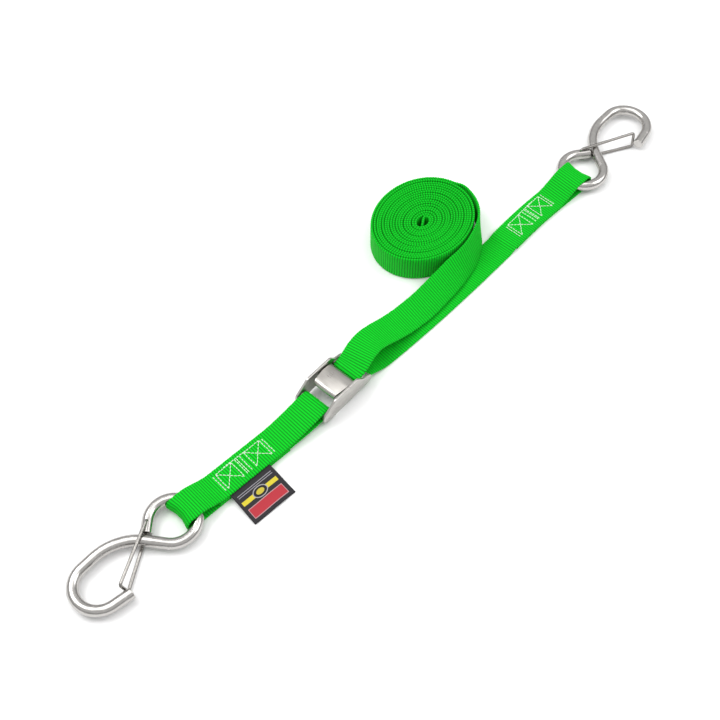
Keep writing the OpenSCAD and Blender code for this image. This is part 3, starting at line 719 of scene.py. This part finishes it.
def hook(name, body, cad, at, turned):
    line = hook_line()
    # small ease at both cut ends
    seg = np.concatenate([[0], np.cumsum(np.linalg.norm(np.diff(line, axis=0), axis=1))])
    total = seg[-1]
    t = np.concatenate([[0, 0.12, 0.3, 0.5], np.linspace(0.9, total - 0.9, 260),
                        [total - 0.5, total - 0.3, total - 0.12, total]])
    path = np.column_stack([np.interp(t, seg, line[:, k]) for k in range(3)])
    edge = np.minimum(t, total - t)
    r = np.where(edge < 0.5, ROD - 0.5 + 0.5 * np.sqrt(np.clip(1 - (1 - edge / 0.5) ** 2, 0, 1)), ROD)
    v, f = tube(path, r * 0.999, 36)
    place_hook(name, v, f, at, turned, body, cad, M_HOOK)


def gate(name, body, cad, at, turned):
    """Wire bent to a U, its two ends turned in through the rod and its far end across the tip."""
    def at_leg(p, s, z):
        return (p[0], p[1], s * z)

    k = -1 if turned else 1
    path = rounded([at_leg(G0, -1, 1.6), at_leg(G0, -1, LEG), at_leg(G1 - k * SPREAD, -1, LEG),
                    at_leg(G1 + k * SPREAD, 1, LEG), at_leg(G0, 1, LEG), at_leg(G0, 1, 1.6)], 2.4)
    v, f = tube(path, WIRE * 0.998, 16)
    place_hook(name, v, f, at, turned, body, cad, M_WIRE)


def place_hook(name, v, f, at, turned, body, cad, mat):
    """Moves a hook or gate from the hook's own frame to its place, turned over for the short strap."""
    if turned:
        v[:, 0] *= -1
        v[:, 2] *= -1
    ob = make(name, to_row(v + np.array(at)), f)
    for p in ob.data.polygons:
        if len(p.vertices) > 8:
            p.use_smooth = False
    finish_piece(ob, mat, body, [cad])


AT_A, AT_B = (HOOK_A_X, HOOK_A_Y, HOOK_Z), (HOOK_B_X, HOOK_B_Y, HOOK_Z)
hook("short_strap_hook", "hook_a", "hook_a", AT_A, True)
gate("short_strap_hook_gate", "gate_a", "gate_a", AT_A, True)
hook("long_strap_hook", "hook_b", "hook_b", AT_B, False)
gate("long_strap_hook_gate", "gate_b", "gate_b", AT_B, False)

# ---------------------------------------------------------------- buckle
INNER, OUTER = 27.2, 31.2
side = (
    arc(13.6, 9.4, 4.85, -80, 70, 14)
    + [(8.9, 15.9), (8.3, 16.4)]
    + arc(1, 18, 4.45, 40, 90, 8)
    + arc(-22, 18.5, 3.95, 90, 130, 8)
    + arc(BAR_X, BAR_Z, 6.25, 130, 268, 20)
)
parts = []
for y0, y1 in ((BY + INNER / 2, BY + OUTER / 2), (BY - OUTER / 2, BY - INNER / 2)):
    parts.append(plate(side, y0, y1, 0.4))
lip = (
    [(16.2, TURN_Z + 0.5), (16.2, TURN_Z + 2.45)] + arc(TURN_X, TURN_Z, 2.46, 90, 270, 20)
    + [(16.2, TURN_Z - 2.45), (16.2, TURN_Z - 0.5)] + arc(TURN_X, TURN_Z, 0.5, 270, 90, 8)
)
parts.append(plate(lip, BY - INNER / 2 - 0.4, BY + INNER / 2 + 0.4, 0.05, 1))
v, f = join(parts)
ob = make("stamped_buckle_frame", to_row(v), f)
finish_piece(ob, M_PLATE, "buckle", ["buckle_frame"])


def rivet(name, x, z, d, cad):
    """Bar with low domed heads, turned about the Y axis."""
    half, r = OUTER / 2, d / 2
    prof = [(-half - 0.38, 0.05), (-half - 0.36, r * 0.5), (-half - 0.25, r * 0.85), (-half - 0.05, r + 0.85),
            (-half, r + 0.95), (-half + 0.02, r - 0.02), (-half + 2, r - 0.02), (0, r - 0.02)]
    prof = prof + [(-a, b) for a, b in prof[-2::-1]]
    path = np.array([(x, BY + a, z) for a, _ in prof])
    path[:, 1] += np.linspace(0, 1e-4, len(path))
    v, f = tube(path, [b for _, b in prof], 32)
    ob = make(name, to_row(v), f)
    mod = ob.modifiers.new("edges", "EDGE_SPLIT")
    mod.split_angle = math.radians(40)
    finish_piece(ob, M_PLATE, "buckle", [cad])


rivet("short_strap_bar", BAR_X, BAR_Z, 6, "anchor_bar")
rivet("lever_pivot_pin", PIN_X, PIN_Z, 4, "pivot_pin")


def lever():
    """Curved plate with a rolled thumb edge, two ears on the pin and a row of teeth at its nose."""
    w = WEB_W - 0.2
    cx, cz, big, tip = -8.0, -1.5, 21.57, 60.0
    root = tip + 8.4
    thumb = (-17, 16.1)
    teeth = 14
    body = (
        arc(cx, cz, big, 90, root, 24)
        + arc(cx, cz, big - 2.05, root, 90, 20)
        + arc(*thumb, 1.93, 90, 165, 8)
        + arc(*thumb, 3.97, 170, 92, 10)
    )
    v, f = plate(body, BY - w / 2 + 0.05, BY + w / 2 - 0.05, 0.3)
    narrow = 1 - 0.14 * np.clip((-11.0 - v[:, 0]) / 9, 0, 1)
    v[:, 1] = BY + (v[:, 1] - BY) * narrow
    parts = [(v, f)]
    pitch = (w - 0.5) / teeth
    # each tooth by angle from the tip, depth of its underside and of its face, and share of the pitch
    levels = ((9.0, 2.05, 0.0, 1.0), (8.0, 2.02, 0.02, 0.94), (3.0, 1.85, 0.1, 0.48), (0.1, 1.6, 0.45, 0.22))
    for i in range(teeth):
        c = BY - w / 2 + 0.25 + (i + 0.5) * pitch
        v = []
        for da, deep, low, part in levels:
            half = pitch / 2 * part
            a = math.radians(tip + da)
            x0, z0 = cx + (big - deep) * math.cos(a), cz + (big - deep) * math.sin(a)
            x1, z1 = cx + (big - low) * math.cos(a), cz + (big - low) * math.sin(a)
            v += [(x0, c - half, z0), (x1, c - half, z1), (x1, c + half, z1), (x0, c + half, z0)]
        f = [(0, 1, 2, 3), (15, 14, 13, 12)]
        for k in (0, 4, 8):
            for j in range(4):
                a, b = k + j, k + (j + 1) % 4
                f.append((a, a + 4, b + 4, b))
        parts.append((np.array(v, dtype=float), f))
    for s in (-1, 1):
        y = BY + s * (w / 2 - 1)
        ear = (
            arc(PIN_X, PIN_Z, 3.95, 180, 315, 14)
            + [(-0.8, 12.9), (0.6, 14.6)]
            + arc(cx, cz, 20.4, 69, 98, 16)
        )
        parts.append(plate(ear, y - 0.95, y + 0.95, 0.2))
    v, f = join(parts)
    ob = make("toothed_cam_lever", to_row(v), f)
    mod = ob.modifiers.new("edges", "EDGE_SPLIT")
    mod.split_angle = math.radians(50)
    finish_piece(ob, M_LEVER, "cam_lever", ["cam_lever"])


lever()


def spring():
    """Torsion spring on the pin, one leg under the thumb side of the lever."""
    r, wire, turns, pitch = 2.65, 0.45, 6, 1.2
    y0 = BY - turns * pitch / 2
    leg_z = 17.85 - wire
    pts = [(-16.3, y0 - 0.2, leg_z), (-14, y0 - 0.17, leg_z), (-11.5, y0 - 0.1, leg_z), (-9, y0 - 0.05, 17.3)]
    for i in range(turns * 20 + 1):
        a = math.radians(90 + 18 * i)
        pts.append((PIN_X + r * math.cos(a), y0 + pitch * i / 20, PIN_Z + r * math.sin(a)))
    pts += [(-5.4, y0 + turns * pitch + 0.04, 17.15), (-3.6, y0 + turns * pitch + 0.1, 16.9)]
    v, f = tube(spline(np.array(pts), 0.35), wire, 8)
    ob = make("lever_torsion_spring", to_row(v), f)
    finish_piece(ob, M_SPRING, "cam_lever", ["lever_spring"])


spring()

# ---------------------------------------------------------------- floor and light
bpy.ops.mesh.primitive_plane_add(size=12, location=(0, 0, -0.0002))
floor = bpy.context.object
floor.name = "floor"
mat, _, bsdf = material("pale_floor")
bsdf.inputs["Base Color"].default_value = (0.93, 0.93, 0.93, 1)
bsdf.inputs["Roughness"].default_value = 0.9
bsdf.inputs["Specular IOR Level"].default_value = 0.1
dress(floor, mat)

world = bpy.data.worlds.new("studio")
bpy.context.scene.world = world
world.use_nodes = True
wt = world.node_tree
sky = node(wt, "ShaderNodeTexCoord")
sep = node(wt, "ShaderNodeSeparateXYZ", {0: sky.outputs["Generated"]})
ramp = wt.nodes.new("ShaderNodeValToRGB")
wt.links.new(math_node(wt, "MULTIPLY_ADD", sep.outputs[2], 0.5, 0.5), ramp.inputs[0])
ramp.color_ramp.elements[0].position = 0.45
ramp.color_ramp.elements[0].color = (0.28, 0.28, 0.29, 1)
ramp.color_ramp.elements[1].position = 0.8
ramp.color_ramp.elements[1].color = (1, 1, 1, 1)
wt.links.new(ramp.outputs[0], wt.nodes["Background"].inputs["Color"])
wt.nodes["Background"].inputs["Strength"].default_value = 0.75


def area(name, at, aim, size, power):
    data = bpy.data.lights.new(name, "AREA")
    data.shape = "RECTANGLE"
    data.size, data.size_y = size
    data.energy = power
    ob = bpy.data.objects.new(name, data)
    ob.location = at
    ob.rotation_euler = (Vector(aim) - Vector(at)).to_track_quat("-Z", "Y").to_euler()
    bpy.context.scene.collection.objects.link(ob)


area("key", (-0.5, 0.9, 1.6), (0, 0, 0), (1.2, 0.8), 17)
area("fill", (1.0, -0.9, 1.3), (0, 0, 0), (1.0, 1.0), 9)
area("top", (0.0, 0.0, 2.0), (0, 0, 0), (1.6, 1.2), 10)
